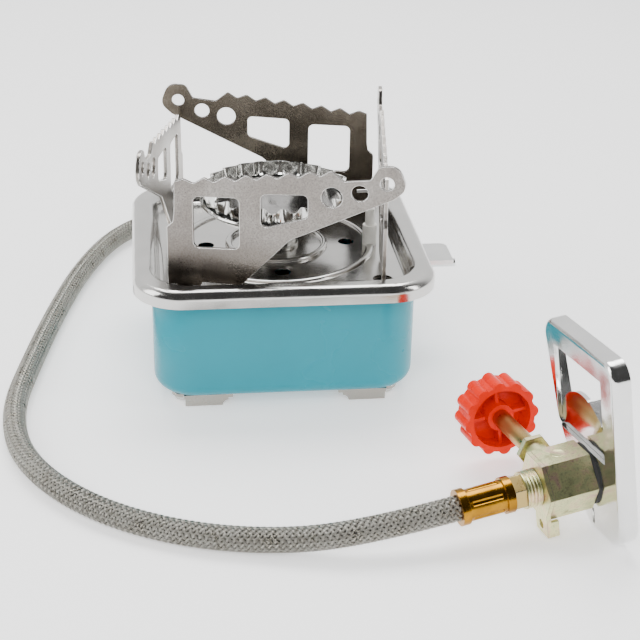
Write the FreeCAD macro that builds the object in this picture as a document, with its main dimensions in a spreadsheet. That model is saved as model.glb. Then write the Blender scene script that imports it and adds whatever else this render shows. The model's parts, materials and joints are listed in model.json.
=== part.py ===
"""Compact folding gas stove with a remote cartridge valve, as a parametric document.

Millimetres, +Z up. The origin is on the ground under the middle of the square casing,
with -Y towards the front. The valve assembly is modelled in a frame of its own, with +X
along the cartridge port and +Y towards the knob, and is then laid where it stands.
"""
import FreeCAD, Part
import math
import os

Vector = FreeCAD.Vector
Rotation = FreeCAD.Rotation
Placement = FreeCAD.Placement

SIZES = {
    # pressed tray with a rolled rim
    "tray_lift": 37.7, "rim_half": 45.0, "rim_corner": 15.0, "rim_rise": 4.3, "rim_drop": 0.9,
    "roll_round": 2.8, "roll_gap": 1.3, "tin": 0.8,
    "recess_half": 37.6, "recess_corner": 10.5, "recess_round": 2.0,
    "lip_half": 38.5, "lip_corner": 11.4,
    "ridge_radius": 29.5, "ridge_wire": 1.6, "ridge_sink": 0.8, "collar_radius": 15.0, "collar_wire": 1.1,
    "vent_radius": 2.5, "vent_circle": 22.1, "pivot_offset": 29.5, "pivot_hole": 3.0,
    # deep drawn casing
    "casing_half": 39.6, "casing_corner": 13.0, "casing_wall": 0.7, "casing_low": 4.0,
    "casing_round": 4.5,
    # burner
    "tube_radius": 4.5, "tube_bore": 3.6, "tube_low": 15.7, "tube_rise": 8.4,
    "bowl_radius": 23.9, "bowl_low": 6.0, "bowl_shoulder": 13.4, "bowl_high": 15.4,
    "bowl_wall": 0.8, "neck_radius": 6.4, "ring_radius": 23.4, "ring_foot": 22.3,
    "ring_wall": 1.5, "ring_low": 14.2, "ring_high": 19.5, "flute_radius": 1.3,
    "dish_radius": 20.4, "dish_low": 14.8, "dish_high": 16.6,
    "nut_half": 5.3, "nut_high": 4.2,
    # jet and inner gas line
    "holder_radius": 6.0, "holder_low": 6.0, "holder_high": 15.7, "foot_radius": 9.0,
    "spigot_radius": 3.6, "spigot_high": 20.7, "jet_radius": 2.0, "jet_high": 23.7,
    "jet_bore": 0.4, "air_hole": 2.2, "air_height": 27.7, "gas_bore": 1.0,
    "line_height": 13.2, "line_radius": 2.0, "inlet_offset": 20.6, "line_bend": 9.0,
    # inlet union on the rear wall
    "union_thread": 4.0, "union_half": 4.6, "union_out": 44.6, "union_in": 33.0,
    "union_nut": 3.0, "ferrule_radius": 4.3, "ferrule_flare": 4.9, "ferrule_end": 58.0,
    "flare_width": 2.2,
    # braided hose
    "hose_radius": 3.5,
    # pot supports
    "sheet": 1.2, "tongue_half": 2.4, "clip_radius": 4.6, "clip_low": 2.2, "clip_high": 1.3,
    # folding legs
    "leg_pivot": 31.0, "leg_half": 3.6, "leg_reach": 16.0, "leg_plate": 2.6, "leg_top": 3.7,
    "leg_inner": 27.4, "leg_outer": 35.6, "leg_skirt": 1.0, "leg_foot_in": 17.4,
    "leg_foot_out": 30.6, "screw_head": 2.6, "screw_shank": 1.5, "screw_low": 1.0,
    # igniter
    "lever_axle": 27.5, "lever_height": 31.3, "lever_tip": 56.0, "lever_back": -6.0,
    "lever_front": 8.0, "lever_thick": 1.4, "lever_lip": 1.3, "lever_corner": 2.4,
    "lever_eye": 2.6, "lever_fork": 3.2, "lever_relief": 11.0, "cheek_thick": 1.8, "cheek_rise": 8.4,
    "cheek_half": 3.0, "axle_radius": 1.5, "axle_bore": 1.56,
    "block_low": 15.0, "block_top": 26.0, "coil_across": 34.0, "coil_radius": 2.2, "coil_wire": 0.3,
    "electrode_across": 29.3, "electrode_along": -2.2, "electrode_radius": 1.5,
    "electrode_rise": 11.8, "electrode_drop": 3.0, "collet_radius": 2.2, "collet_rise": 6.5,
    "wire_radius": 0.5, "lead_radius": 0.7, "lead_height": 20.0,
    # valve assembly, in its own frame
    "valve_yaw": 11.0, "valve_pitch": 7.0, "valve_roll": -5.0,
    "valve_across": 72.3, "valve_along": -108.0, "valve_lift": 15.5,
    "body_half": 8.0, "body_near": -13.2, "gasket_near": -0.8, "gasket_radius": 8.3,
    "thread_radius": 5.0, "thread_near": -18.6, "hose_nut_half": 4.3, "hose_nut_near": -21.8,
    "valve_ferrule_end": -36.5, "bracket_sheet": 1.2, "bracket_foot": -12.8, "bracket_side": -5.6,
    "bracket_wide": 7.2, "bracket_lip": 3.4, "bracket_turn": 4.5, "bracket_hole": 1.2,
    "port_radius": 8.0, "port_out": 5.0, "port_bore": 3.8, "port_floor": -2.0, "port_seal_radius": 3.0,
    "stem_across": -10.0, "stem_height": 4.6, "stem_radius": 2.5, "stem_bore": 2.55,
    "stem_root": 1.0, "boss_radius": 4.1, "boss_out": 9.2, "bonnet_half": 4.1,
    "bonnet_out": 11.0, "seal_low": 4.0, "seal_high": 5.4, "seal_inner": 1.9,
    "knob_near": 31.0, "knob_far": 39.4, "knob_core": 9.9, "lobe_radius": 1.9,
    "lobe_circle": 9.1, "knob_hollow": 8.5, "knob_web": 2.0, "hub_radius": 3.9,
    "hub_near": 32.0, "stem_far": 37.0, "rib": 1.0,
    "plate_low": -15.5, "plate_high": 38.0, "plate_front": -18.6, "plate_rear": 22.4,
    "plate_deep": 5.0, "plate_sheet": 1.2, "plate_roll": 1.6, "plate_lean": 16.4,
    "window_front": -11.4, "window_foot": 8.0, "window_wide": 26.4, "window_tall": 23.4,
    "slot_front": -3.6, "slot_foot": -13.6, "slot_wide": 1.4, "slot_tall": 4.6,
    "disc_radius": 14.2, "disc_height": 7.4, "disc_along": 2.0, "disc_far": 2.4,
    "tab_front": -7.5, "tab_foot": 16.8, "tab_reach": 7.5, "tab_wide": 7.0, "tab_thick": 1.3,
    "tab_lean": 30.0,
}

doc = FreeCAD.newDocument("camping_stove")
sheet = doc.addObject("Spreadsheet::Sheet", "dims")
for row, (alias, size) in enumerate(SIZES.items(), start=1):
    sheet.set(f"A{row}", alias)
    sheet.set(f"B{row}", str(size))
    sheet.setAlias(f"B{row}", alias)
doc.recompute()

NODES = []


def size(alias):
    """The value that the sheet holds for one dimension."""
    return float(sheet.get(alias))


def bind(thing, **expressions):
    """Bind properties of a document object to expressions of sheet cells."""
    for prop, text in expressions.items():
        words = [f"dims.{word}" if word in SIZES else word for word in str(text).split()]
        thing.setExpression(prop.replace("_at_", "Placement.Base."), " ".join(words))


def turn_for(axis):
    """Rotation that points a primitive's own Z along x, y or z."""
    directions = {"x": Vector(1, 0, 0), "y": Vector(0, 1, 0), "z": Vector(0, 0, 1)}
    return Rotation(Vector(0, 0, 1), directions[axis])


def primitive(kind, name, at, axis="z", **sizes):
    thing = doc.addObject(kind, name)
    thing.Placement = Placement(Vector(), turn_for(axis))
    bind(thing, **sizes)
    bind(thing, _at_x=at[0], _at_y=at[1], _at_z=at[2])
    return thing


def box(name, at, length, width, height):
    return primitive("Part::Box", name, at, Length=length, Width=width, Height=height)


def cylinder(name, at, radius, height, axis="z"):
    return primitive("Part::Cylinder", name, at, axis, Radius=radius, Height=height)


def cone(name, at, low, high, height, axis="z"):
    return primitive("Part::Cone", name, at, axis, Radius1=low, Radius2=high, Height=height)


def torus(name, at, ring, wire, axis="z"):
    return primitive("Part::Torus", name, at, axis, Radius1=ring, Radius2=wire)


def hexagon(name, at, half_flats, height, axis="z", turn=0.0):
    """Hexagonal bar whose distance across flats is twice half_flats."""
    thing = doc.addObject("Part::Prism", name)
    thing.Polygon = 6
    spin = Rotation(Vector(0, 0, 1), turn)
    thing.Placement = Placement(Vector(), turn_for(axis).multiply(spin))
    bind(thing, Circumradius=f"{half_flats} / cos(30)", Height=height)
    bind(thing, _at_x=at[0], _at_y=at[1], _at_z=at[2])
    return thing


def fuse(name, *things):
    joined = doc.addObject("Part::MultiFuse", name)
    joined.Shapes = list(things)
    joined.Refine = True
    return joined


def cut(name, base, *tools):
    result = doc.addObject("Part::Cut", name)
    result.Base = base
    result.Tool = tools[0] if len(tools) == 1 else fuse(f"{name}_tools", *tools)
    result.Refine = True
    return result


def group(name, *things):
    """Separate identical solids that share one node."""
    joined = doc.addObject("Part::Compound", name)
    joined.Links = list(things)
    return joined


def node(thing, label=None):
    """Register a finished sub-part. Its label names its file."""
    if label:
        thing.Label = label
    NODES.append(thing)
    return thing


def edges_where(shape, wanted):
    return [f"Edge{k}" for k, edge in enumerate(shape.Edges, start=1) if wanted(edge)]


def level(edge, height):
    box_of_edge = edge.BoundBox
    return abs(box_of_edge.ZMin - height) < 1e-4 and abs(box_of_edge.ZMax - height) < 1e-4


def upright(edge):
    box_of_edge = edge.BoundBox
    return box_of_edge.XLength < 1e-4 and box_of_edge.YLength < 1e-4


def slab(name, half, corner, low, height, low_round=None, top_round=None):
    """Square block with rounded upright corners and, if asked, rounded rims."""
    body = doc.addObject("PartDesign::Body", name)
    block = body.newObject("PartDesign::AdditiveBox", f"{name}_block")
    bind(block, Length=f"2 * ( {half} )", Width=f"2 * ( {half} )", Height=height)
    bind(block, _at_x=f"0 - ( {half} )", _at_y=f"0 - ( {half} )", _at_z=low)
    doc.recompute()
    corners = body.newObject("PartDesign::Fillet", f"{name}_corners")
    corners.Base = (block, edges_where(block.Shape, upright))
    bind(corners, Radius=corner)
    doc.recompute()
    last = corners
    for suffix, radius, pick in (("foot", low_round, "ZMin"), ("crest", top_round, "ZMax")):
        if radius is None:
            continue
        height_of_rim = getattr(last.Shape.BoundBox, pick)
        rim = body.newObject("PartDesign::Fillet", f"{name}_{suffix}")
        rim.Base = (last, edges_where(last.Shape, lambda e: level(e, height_of_rim)))
        bind(rim, Radius=radius)
        doc.recompute()
        last = rim
    return body


def corner_arc(before, at, after, radius):
    """Tangent points and middle point of a rounded corner between two straight sides."""
    to_before = (before - at).normalize()
    to_after = (after - at).normalize()
    half = to_before.getAngle(to_after) / 2.0
    reach = radius / math.tan(half)
    bisector = (to_before + to_after).normalize()
    middle = at + bisector * (radius / math.sin(half) - radius)
    return at + to_before * reach, middle, at + to_after * reach


def outline(corners):
    """Closed chain of lines and arcs through corners given as (u, v, radius)."""
    points = [Vector(u, v, 0) for u, v, _ in corners]
    pieces = []
    ends = []
    for k, (_, _, radius) in enumerate(corners):
        if radius > 0:
            arc = corner_arc(points[k - 1], points[k], points[(k + 1) % len(points)], radius)
            pieces.append(Part.Arc(*arc))
            ends.append((arc[0], arc[2]))
        else:
            ends.append((points[k], points[k]))
    for k, (_, leave) in enumerate(ends):
        arrive = ends[(k + 1) % len(ends)][0]
        if (arrive - leave).Length > 1e-6:
            pieces.append(Part.LineSegment(leave, arrive))
    return pieces


def profile(name, plane, geometry, length, midplane=False):
    """Body padded from one sketch. All outlines and holes are in that sketch."""
    body = doc.addObject("PartDesign::Body", name)
    sketch = body.newObject("Sketcher::SketchObject", f"{name}_sketch")
    origin_plane = [f for f in body.Origin.OriginFeatures if f.Role == plane][0]
    sketch.AttachmentSupport = [(origin_plane, "")]
    sketch.MapMode = "FlatFace"
    sketch.addGeometry(geometry, False)
    doc.recompute()
    pad = body.newObject("PartDesign::Pad", f"{name}_pad")
    pad.Profile = sketch
    pad.Midplane = midplane
    bind(pad, Length=length)
    doc.recompute()
    return body


def pipe(name, points, radii, section_radius):
    """Solid tube along straight runs joined by tangent arcs, with its volume checked."""
    edges = []
    start = points[0]
    for k, radius in enumerate(radii, start=1):
        enter, middle, leave = corner_arc(points[k - 1], points[k], points[k + 1], radius)
        edges.append(Part.LineSegment(start, enter).toShape())
        edges.append(Part.Arc(enter, middle, leave).toShape())
        start = leave
    edges.append(Part.LineSegment(start, points[-1]).toShape())
    path = Part.Wire(edges)
    section = Part.Wire(Part.Circle(points[0], points[1] - points[0], section_radius).toShape())
    thing = doc.addObject("Part::Feature", name)
    thing.Shape = path.makePipeShell([section], True, False)
    expected = math.pi * section_radius ** 2 * path.Length
    print(name, "length", round(path.Length, 1), "volume ratio", round(thing.Shape.Volume / expected, 4))
    return thing


# ---------------------------------------------------------------- tray and casing

def make_tray():
    """Bright pressed tray: deep floor, rolled rim, embossed rings and pierced holes."""
    blank = slab("tray_blank", "rim_half", "rim_corner", "tray_lift - rim_drop", "rim_rise + rim_drop")
    recess = slab("tray_recess", "recess_half", "recess_corner", "tray_lift", "rim_rise + 1",
                  low_round="recess_round")
    pan = cut("tray_pan", blank, recess)
    doc.recompute()
    crest = size("tray_lift") + size("rim_rise")
    bead = doc.addObject("Part::Fillet", "tray_bead")
    bead.Base = pan
    names = edges_where(pan.Shape, lambda e: level(e, crest))
    radius = size("roll_round")
    bead.Edges = [(int(name[4:]), radius, radius) for name in names]
    channel = slab("tray_channel", "rim_half - tin", "rim_corner - tin", "tray_lift - rim_drop - 1",
                   "rim_rise + rim_drop + 1 - roll_gap", top_round="roll_round - tin")
    keep = slab("tray_keep", "lip_half", "lip_corner", "tray_lift - rim_drop - 2", "rim_rise + 4")
    hollow = cut("tray_hollow", channel, keep)
    pressed = cut("tray_pressed", bead, hollow)
    ridge = torus("tray_ridge", (0, 0, "tray_lift - ridge_sink"), "ridge_radius", "ridge_wire")
    collar = torus("tray_collar", (0, 0, "tray_lift + 0.2"), "collar_radius", "collar_wire")
    body = fuse("tray_solid", pressed, ridge, collar)
    holes = [cylinder("tray_centre_hole", (0, 0, "tray_lift - 4"), "tube_radius + 0.1", 8)]
    for k in range(4):
        angle = k * 90
        across = f"vent_circle * cos( {angle} )"
        along = f"vent_circle * sin( {angle} )"
        holes.append(cylinder(f"tray_vent_{k}", (across, along, "tray_lift - 4"), "vent_radius", 8))
        sign_x = 1 if k in (0, 3) else -1
        sign_y = 1 if k < 2 else -1
        holes.append(cylinder(f"tray_corner_hole_{k}",
                              (f"{sign_x} * pivot_offset", f"{sign_y} * pivot_offset", "tray_lift - 4"),
                              "pivot_hole", 8))
    holes.append(cylinder("tray_electrode_hole", ("electrode_across", "electrode_along", "tray_lift - 4"),
                          "collet_radius", 8))
    below = box("tray_below", ("0 - rim_half", "0 - rim_half", "tray_lift - rim_drop - 4"),
                "2 * rim_half", "2 * rim_half", 4)
    node(cut("top_tray", body, below, *holes))


def make_casing():
    """Enamelled square tin, closed at the bottom, with its top edge inside the rolled rim."""
    height = "tray_lift + rim_rise - roll_gap - casing_low"
    shell = slab("casing_shell", "casing_half", "casing_corner", "casing_low", height,
                 low_round="casing_round")
    cavity = slab("casing_cavity", "casing_half - casing_wall", "casing_corner - casing_wall",
                  "casing_low + casing_wall", height, low_round="casing_round - casing_wall")
    openings = [
        cylinder("casing_inlet_hole", ("inlet_offset", "casing_half - 3", "line_height"),
                 "union_thread + 0.1", 6, "y"),
        box("casing_lever_slot", ("casing_half - 3", "lever_back - 0.6", "lever_height - 7.5"),
            6, "lever_front - lever_back + 1.2", "8.3 + lever_thick"),
    ]
    for k, (sign_x, sign_y) in enumerate(((1, 1), (-1, 1), (-1, -1), (1, -1))):
        openings.append(cylinder(f"casing_leg_hole_{k}",
                                 (f"{sign_x} * leg_pivot", f"{sign_y} * leg_pivot", "casing_low - 2"),
                                 "screw_shank", 6))
    node(cut("casing", shell, cavity, *openings))


# ---------------------------------------------------------------- burner

def make_burner():
    tube = cylinder("tube_outer", (0, 0, "tube_low"), "tube_radius",
                    "tray_lift + tube_rise - tube_low")
    bore = cylinder("tube_inner", (0, 0, "tube_low - 1"), "tube_bore", "tray_lift + tube_rise")
    air = cylinder("tube_air_hole", (-10, 0, "air_height"), "air_hole", 20, "x")
    node(cut("mixing_tube", tube, bore, air))

    nut = hexagon("collar_hexagon", (0, 0, "tray_lift"), "nut_half", "nut_high")
    washer = cylinder("collar_flange", (0, 0, "tray_lift"), "nut_half + 1.6", 1)
    nut_bore = cylinder("collar_bore", (0, 0, "tray_lift - 1"), "tube_radius", 8)
    node(cut("collar_nut", fuse("collar_solid", nut, washer), nut_bore))

    neck = cylinder("bowl_neck", (0, 0, "tray_lift + bowl_low - 1.6"), "neck_radius", 2.4)
    flare = cone("bowl_flare", (0, 0, "tray_lift + bowl_low"), "neck_radius", "bowl_radius - 1.2",
                 "bowl_shoulder - bowl_low")
    wall = cylinder("bowl_wall", (0, 0, "tray_lift + bowl_shoulder"), "bowl_radius",
                    "bowl_high - bowl_shoulder")
    hollow = cone("bowl_hollow", (0, 0, "tray_lift + bowl_low + bowl_wall"), "neck_radius - 1",
                  "bowl_radius - 2", "bowl_high - bowl_low - bowl_wall")
    seat = cylinder("bowl_seat", (0, 0, "tray_lift + ring_low"), "ring_radius", 4)
    throat = cylinder("bowl_throat", (0, 0, "tray_lift"), "tube_radius", 20)
    node(cut("burner_bowl", fuse("bowl_solid", neck, flare, wall), hollow, seat, throat))

    ring = cone("ring_outer", (0, 0, "tray_lift + ring_low"), "ring_foot", "ring_radius",
                "ring_high - ring_low")
    ring_bore = cone("ring_inner", (0, 0, "tray_lift + ring_low"), "ring_foot - ring_wall",
                     "ring_radius - ring_wall", "ring_high - ring_low")
    flutes = []
    count = 22
    for k in range(count):
        angle = 360.0 * k / count
        flutes.append(cylinder(f"ring_flute_{k}",
                               (f"( ring_radius + 0.45 ) * cos( {angle} )",
                                f"( ring_radius + 0.45 ) * sin( {angle} )",
                                "tray_lift + bowl_high"), "flute_radius", 8))
    node(cut("flame_ring", ring, ring_bore, *flutes))

    disc = cylinder("dish_disc", (0, 0, "tray_lift + dish_low"), "dish_radius",
                    "dish_high - dish_low")
    dip = cone("dish_dip", (0, 0, "tray_lift + dish_low + 0.8"), "dish_radius / 3",
               "dish_radius - 1", "dish_high - dish_low")
    stem = cylinder("dish_stem", (0, 0, "tray_lift + tube_rise"), "tube_radius",
                    "dish_low - tube_rise")
    rise = cylinder("dish_rise", (0, 0, "tray_lift + tube_rise - 1"), "tube_bore",
                    "dish_low - tube_rise")
    outlet = cylinder("dish_outlet", (-8, 0, "tray_lift + tube_rise + 2.8"), "air_hole", 16, "x")
    node(cut("burner_dish", fuse("dish_solid", disc, stem), dip, rise, outlet))


def make_gas_line():
    foot = cylinder("holder_foot", (0, 0, "casing_low + casing_wall"), "foot_radius",
                    "holder_low - casing_low - casing_wall")
    block = cylinder("holder_block", (0, 0, "holder_low"), "holder_radius",
                     "holder_high - holder_low")
    spigot = cylinder("holder_spigot", (0, 0, "holder_high"), "spigot_radius",
                      "spigot_high - holder_high")
    riser = cylinder("holder_riser", (0, 0, "line_height"), "gas_bore", 10)
    port = cylinder("holder_port", (0, 0, "line_height"), "gas_bore", 10, "x")
    node(cut("jet_holder", fuse("holder_solid", foot, block, spigot), riser, port))

    jet = cylinder("jet_solid", (0, 0, "spigot_high"), "jet_radius", "jet_high - spigot_high")
    jet_hole = cylinder("jet_hole", (0, 0, "spigot_high - 1"), "jet_bore", 6)
    node(cut("gas_jet", jet, jet_hole))

    far = Vector(size("inlet_offset"), size("union_in"), size("line_height"))
    bend = Vector(size("inlet_offset"), 0, size("line_height"))
    near = Vector(size("holder_radius"), 0, size("line_height"))
    node(pipe("inner_gas_pipe", [far, bend, near], [size("line_bend")], size("line_radius")))

    thread = cylinder("union_barrel", ("inlet_offset", "union_in", "line_height"), "union_thread",
                      "casing_half - union_in", "y")
    flange = hexagon("union_flange", ("inlet_offset", "casing_half", "line_height"), "union_half",
                     "union_out - casing_half", "y")
    node(fuse("inlet_union", thread, flange))
    back_nut = hexagon("union_nut_hexagon", ("inlet_offset", "casing_half - casing_wall - union_nut",
                                             "line_height"), "union_half", "union_nut", "y")
    back_bore = cylinder("union_nut_bore", ("inlet_offset", "union_in", "line_height"),
                         "union_thread", 8, "y")
    node(cut("inlet_lock_nut", back_nut, back_bore))


def ferrule(name, across, along, height, start, end, axis):
    """Crimped hose sleeve: a waisted barrel with a flare at each end and long flutes."""
    def at(position):
        return (position, along, height) if axis == "x" else (across, position, height)
    barrel = cylinder(f"{name}_barrel", at(start), "ferrule_radius", f"{end} - ( {start} )", axis)
    first = cylinder(f"{name}_first", at(start), "ferrule_flare", "flare_width", axis)
    last = cylinder(f"{name}_last", at(f"{end} - flare_width"), "ferrule_flare", "flare_width", axis)
    solid = fuse(f"{name}_solid", barrel, first, last)
    flutes = []
    for k in range(6):
        angle = 60 * k + 30
        reach = f"( ferrule_radius + 0.5 ) * cos( {angle} )"
        rise = f"( ferrule_radius + 0.5 ) * sin( {angle} ) + ( {height} )"
        begin = f"{start} + flare_width + 1"
        centre = (begin, reach, rise) if axis == "x" else (f"{across} + {reach}", begin, rise)
        flutes.append(cylinder(f"{name}_flute_{k}", centre, 0.9,
                               f"{end} - ( {start} ) - 2 * flare_width - 2", axis))
    return cut(name, solid, *flutes)


# The hose leaves the valve sleeve, dips to the ground, sweeps round the front and the left
# of the casing and loops behind it to the inlet union.
HOSE_ROUTE = [(14.62, -119.21, 8.29), (-9.0, -115.8, 3.8), (-36.0, -109.0, 3.6), (-60.0, -93.0, 3.6),
              (-77.0, -69.0, 3.6), (-82.0, -41.0, 3.6), (-77.5, -8.0, 3.6), (-71.6, 27.0, 3.6),
              (-64.5, 60.0, 3.6), (-53.8, 89.0, 3.8), (-40.2, 102.6, 4.8), (-22.1, 108.6, 6.8),
              (-3.3, 105.8, 9.4), (12.0, 94.7, 11.8), (20.6, 78.0, 13.2)]


def make_hose():
    valve = valve_frame()
    start = valve.multVec(Vector(size("valve_ferrule_end"), 0, 0))
    end = Vector(size("inlet_offset"), size("ferrule_end"), size("line_height"))
    points = [start] + [Vector(*point) for point in HOSE_ROUTE] + [end]
    radii = []
    for before, at, after in zip(points, points[1:], points[2:]):
        run = min((at - before).Length, (after - at).Length)
        turn = (at - before).getAngle(after - at)
        radii.append(0.45 * run / math.tan(turn / 2.0))
    print("hose bend radii", [round(radius) for radius in radii])
    node(pipe("gas_hose", points, radii, size("hose_radius")))
    node(ferrule("hose_sleeve_stove", "inlet_offset", None, "line_height", "union_out",
                 "ferrule_end", "y"))


# ---------------------------------------------------------------- pot supports

CRESTS = 8
CREST_PITCH = 6.1
CREST_DEPTH = 1.6
# Each support's name, the signs of its corner, its heading and how far it is swung out.
SUPPORT_LABELS = (("front", -1, -1, 0, 15.4), ("right", 1, -1, 90, 6.5),
                  ("rear", 1, 1, 180, 6.5), ("left", -1, 1, 270, 11.7))


def support_outline():
    """Serrated plate in its own plane: u runs out from the pivot, v up from the tray."""
    slope = (39.0 - 33.4) / (CREST_PITCH * (CRESTS - 1))
    teeth = [(-2.6, 32.4, 0)]
    for k in range(CRESTS):
        along = k * CREST_PITCH
        top = 33.4 + slope * along
        teeth.append((along, top, 0.9))
        if k < CRESTS - 1:
            teeth.append((along + CREST_PITCH / 2, top + slope * CREST_PITCH / 2 - CREST_DEPTH, 0.9))
    tip = [(46.6, 36.0, 1.0), (54.0, 36.9, 0.8), (56.4, 41.2, 2.2), (62.0, 41.6, 3.6),
           (64.6, 35.0, 3.4), (60.9, 31.7, 2.0), (38.5, 20.6, 6.0), (31.2, 17.0, 6.0),
           (17.0, 1.6, 1.5)]
    heel = [(5.4, 1.6, 0.6), (4.6, 0.3, 0.4), (2.4, 0.3, 0), (2.4, -3.2, 0.6), (-2.4, -3.2, 0.6),
            (-2.4, 0.3, 0), (-5.1, 0.3, 0.5), (-5.1, 18.4, 0.8), (-3.3, 20.0, 0.6), (-2.9, 22.4, 0.6)]
    return outline(teeth + tip + heel)


def support_holes():
    windows = outline([(2.8, 12.4, 1.8), (16.4, 12.9, 1.8), (16.4, 28.8, 1.8), (2.8, 28.3, 1.8)])
    windows += outline([(22.7, 19.8, 1.6), (36.3, 24.2, 1.6), (36.3, 31.2, 1.6), (22.7, 30.4, 1.6)])
    for across, up, radius in ((43.2, 31.0, 3.05), (51.1, 32.8, 2.4), (58.8, 36.2, 2.0)):
        windows.append(Part.Circle(Vector(across, up, 0), Vector(0, 0, 1), radius))
    return windows


def make_supports():
    """Four identical plates hinged in the corner holes, each held by a clip under the tray."""
    for label, sign_x, sign_y, heading, opened in SUPPORT_LABELS:
        pivot = Vector(sign_x * size("pivot_offset"), sign_y * size("pivot_offset"), size("tray_lift"))
        pose = Placement(pivot, Rotation(Vector(0, 0, 1), heading - opened))
        plate = profile(f"pot_support_{label}", "XZ_Plane", support_outline() + support_holes(),
                        "sheet", midplane=True)
        plate.Placement = pose
        node(plate)
        disc = cylinder(f"clip_disc_{label}", (0, 0, "0 - clip_low"), "clip_radius",
                        "clip_low - clip_high")
        slot = box(f"clip_slot_{label}", ("0 - tongue_half", "0 - sheet / 2", "0 - clip_low - 1"),
                   "2 * tongue_half", "sheet", 4)
        clip = cut(f"support_clip_{label}", disc, slot)
        clip.Placement = pose
        node(clip)


# ---------------------------------------------------------------- legs

def make_legs():
    """Four angle-section legs under the casing corners, swinging on shoulder screws."""
    screws = []
    corners = (("front_left", -1, -1), ("front_right", 1, -1), ("rear_right", 1, 1), ("rear_left", -1, 1))
    for label, sign_x, sign_y in corners:
        name = f"leg_{label}"
        eye = cylinder(f"{name}_eye", ("leg_pivot", "leg_pivot", "leg_plate"), "leg_half",
                       "leg_top - leg_plate")
        strip = box(f"{name}_strip", ("leg_reach", "leg_inner", "leg_plate"),
                    "leg_pivot - leg_reach", "leg_outer - leg_inner", "leg_top - leg_plate")
        skirt = box(f"{name}_skirt", ("leg_foot_in", "leg_outer - leg_skirt", 0),
                    "leg_foot_out - leg_foot_in", "leg_skirt", "leg_top")
        ramp = cylinder(f"{name}_ramp", ("leg_foot_in", "leg_outer - 3", 0), 1.8, 6, "y")
        hole = cylinder(f"{name}_hole", ("leg_pivot", "leg_pivot", 0), "screw_shank + 0.05", 6)
        peep = cylinder(f"{name}_peep", ("leg_reach + 4", "leg_pivot - 1", 0), 1.0, 6)
        leg = cut(f"{name}_plain", fuse(f"{name}_solid", eye, strip, skirt), ramp, hole, peep)
        flipped = doc.addObject("Part::Mirroring", f"{name}_across")
        flipped.Source = leg
        flipped.Normal = Vector(1, 0, 0)
        if sign_x < 0:
            leg = flipped
        else:
            doc.removeObject(flipped.Name)
        if sign_y < 0:
            along = doc.addObject("Part::Mirroring", f"{name}_along")
            along.Source = leg
            along.Normal = Vector(0, 1, 0)
            leg = along
        node(leg, name)
        at_x = f"{sign_x} * leg_pivot"
        at_y = f"{sign_y} * leg_pivot"
        shank = cylinder(f"{name}_screw_shank", (at_x, at_y, "screw_low"), "screw_shank",
                         "casing_low + casing_wall + 3 - screw_low")
        head = cylinder(f"{name}_screw_head", (at_x, at_y, "screw_low"), "screw_head",
                        "leg_plate - 0.1 - screw_low")
        screws.append(fuse(f"{name}_screw", shank, head))
    node(group("leg_screws", *screws))


# ---------------------------------------------------------------- igniter

def make_igniter():
    """Piezo block with a sprung thumb lever, its lead and the spark electrode."""
    height = "lever_height + lever_thick / 2"
    block = box("block_solid", ("lever_axle - 4.5", "lever_back + 1", "block_low"),
                "casing_half - casing_wall - lever_axle + 4.5", 12, "block_top - block_low")
    cheeks = [box(f"block_cheek_{k}", ("lever_axle - cheek_half", side, "block_top"),
                  "2 * cheek_half", "cheek_thick", "cheek_rise")
              for k, side in enumerate(("lever_back + 1", "lever_front - 1 - cheek_thick"))]
    axle_way = cylinder("block_axle_way", ("lever_axle", "lever_back", height), "axle_radius", 16, "y")
    node(cut("piezo_block", fuse("block_whole", block, *cheeks), axle_way))
    node(cylinder("lever_axle_pin", ("lever_axle", "lever_back + 0.6", height), "axle_radius",
                  "lever_front - lever_back - 1.2", "y"))
    root = box("lever_root", ("lever_axle", "lever_back", "lever_height"),
               "lever_tip - lever_corner - lever_axle", "lever_front - lever_back", "lever_thick")
    end = box("lever_end", ("lever_tip - lever_corner - 1", "lever_back", "lever_height"),
              "lever_corner + 1", "lever_front - lever_back - lever_corner", "lever_thick")
    corner = cylinder("lever_corner_disc",
                      ("lever_tip - lever_corner", "lever_front - lever_corner", "lever_height"),
                      "lever_corner", "lever_thick")
    lip = cylinder("lever_rolled_lip",
                   ("casing_half + 3", "lever_back + lever_lip", "lever_height + lever_thick - lever_lip"),
                   "lever_lip", "lever_tip + 0.6 - casing_half - 3", "x")
    reliefs = [box(f"lever_relief_{k}", ("lever_axle - 6", side, "lever_height - 1"),
                   "lever_relief", "lever_fork + 1", 4)
               for k, side in enumerate(("lever_back - 1", "lever_front - lever_fork"))]
    eye = cylinder("lever_eye_solid", ("lever_axle", "lever_back + lever_fork", height), "lever_eye",
                   "lever_front - lever_back - 2 * lever_fork", "y")
    lever = cut("lever_trimmed", fuse("lever_solid", root, end, corner, lip), *reliefs)
    eye_bore = cylinder("lever_eye_bore", ("lever_axle", "lever_back", height), "axle_bore", 16, "y")
    node(cut("igniter_lever", fuse("lever_whole", lever, eye), eye_bore))
    coil = size("coil_radius")
    wire = size("coil_wire")
    turns = 4
    steps = 12
    gap = size("lever_height") - size("block_top") - 2 * wire
    points = []
    for k in range(turns * steps + 1):
        angle = 2.0 * math.pi * k / steps
        points.append(Vector(coil * math.cos(angle), coil * math.sin(angle),
                             gap * k / (turns * steps)))
    section = Part.Wire(Part.Circle(points[0], points[1] - points[0], wire).toShape())
    spring = doc.addObject("Part::Feature", "lever_spring")
    mitred = 1
    spring.Shape = Part.makePolygon(points).makePipeShell([section], True, False, mitred)
    spring.Placement = Placement(Vector(size("coil_across"), 1, size("block_top") + wire), Rotation())
    node(spring)


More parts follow.
